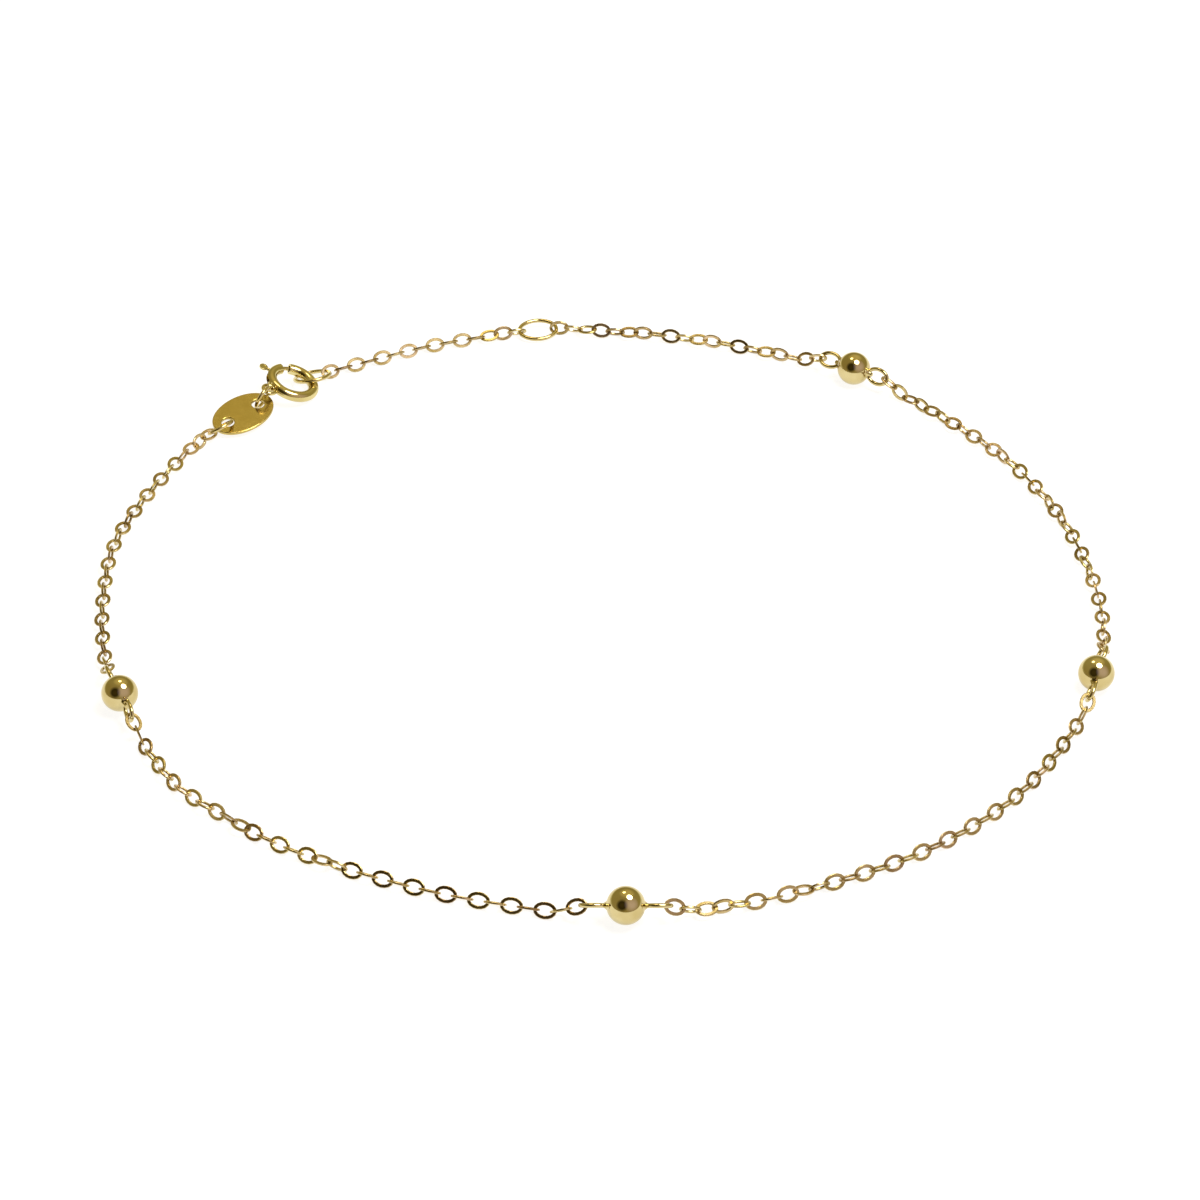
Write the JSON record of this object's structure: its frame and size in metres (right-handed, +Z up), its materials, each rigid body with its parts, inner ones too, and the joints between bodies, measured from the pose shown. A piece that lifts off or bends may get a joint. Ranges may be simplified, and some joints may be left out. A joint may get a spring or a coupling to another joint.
{
  "type": "chain anklet",
  "caption": "Fine yellow gold flat cable chain anklet with ball stations, an adjusting ring, a spring ring clasp and a plain oval tag, lying closed in a ring.",
  "frame": {"origin": "centre of the bounding box on the floor that the anklet lies on", "axes": "+Z up from the floor, +X to the right and -Y to the front as in the picture; the clasp is at the back left"},
  "size_m": [0.0848, 0.0842, 0.003],
  "materials": {
    "adjust_ring": "polished",
    "bead_1": "polished",
    "bead_2": "polished",
    "bead_3": "polished",
    "bead_4": "polished",
    "chain_back": "polished",
    "chain_extension": "polished",
    "chain_front_left": "polished",
    "chain_front_right": "polished",
    "chain_left": "polished",
    "chain_right": "polished",
    "clasp_body": "polished",
    "clasp_bolt": "polished",
    "end_ring": "polished",
    "tag": "satin",
    "tag_ring_chain": "polished",
    "tag_ring_clasp": "polished"
  },
  "bodies": {
    "anklet": {"adjust_ring": "adjust_ring", "bead_1": "bead_1", "bead_2": "bead_2", "bead_3": "bead_3", "bead_4": "bead_4", "chain_back": "chain_back", "chain_extension": "chain_extension", "chain_front_left": "chain_front_left", "chain_front_right": "chain_front_right", "chain_left": "chain_left", "chain_right": "chain_right", "clasp_body": "clasp_body", "end_ring": "end_ring", "tag": "tag", "tag_ring_chain": "tag_ring_chain", "tag_ring_clasp": "tag_ring_clasp"},
    "bolt": {"clasp_bolt": "clasp_bolt"}
  },
  "joints": [
    {"name": "clasp_bolt_slide_round", "type": "hinge", "parent": "anklet", "child": "bolt", "pos_m": [-0.02797, 0.0306, 0.00126], "axis": [0.3482, -0.0277, 0.937], "range_deg": [0, 37], "stiffness_Nm_per_rad": 0.0005}
  ]
}
